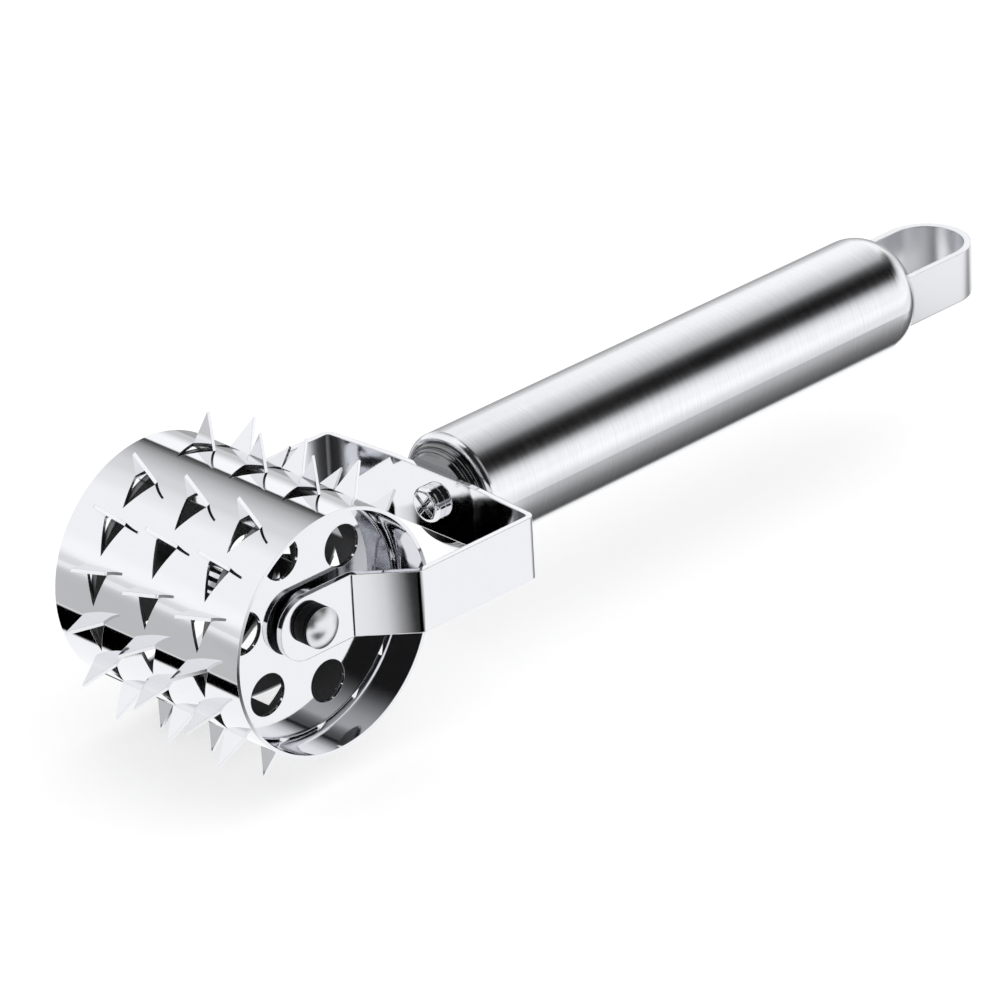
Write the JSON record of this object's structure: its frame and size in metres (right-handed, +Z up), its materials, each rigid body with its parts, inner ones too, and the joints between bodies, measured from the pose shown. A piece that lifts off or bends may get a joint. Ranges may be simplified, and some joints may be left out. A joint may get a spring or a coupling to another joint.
{
  "type": "roller meat tenderizer",
  "caption": "Steel hand roller: a drum with folded spikes turns in a bent strip fork on a tube handle with a hanging loop.",
  "frame": {"origin": "on the handle's axis, in the middle of the tube's straight grip", "axes": "+X along the drum's axle, +Y along the handle towards the hanging loop, +Z up"},
  "size_m": [0.0468, 0.1891, 0.0506],
  "materials": {
    "polished_steel": "mirror polished stainless steel",
    "satin_steel": "fine brushing around the tube",
    "plain_steel": "turned or plated steel"
  },
  "bodies": {
    "handle": {"axle_rod": "plain_steel", "axle_cap_left": "polished_steel", "axle_cap_right": "polished_steel", "fork": "polished_steel", "fork_screw": "plain_steel", "handle_plug": "polished_steel", "handle_tube": "satin_steel", "loop_plug": "plain_steel", "hanging_loop": "polished_steel"},
    "drum": {"drum_shell": "polished_steel", "drum_disc_left": "polished_steel", "drum_disc_right": "polished_steel", "hub_bush_left": "plain_steel", "hub_bush_right": "plain_steel"}
  },
  "joints": [
    {"name": "drum_spin", "type": "hinge", "parent": "handle", "child": "drum", "pos_m": [0, -0.0922, 0], "axis": [1, 0, 0], "continuous": true}
  ]
}
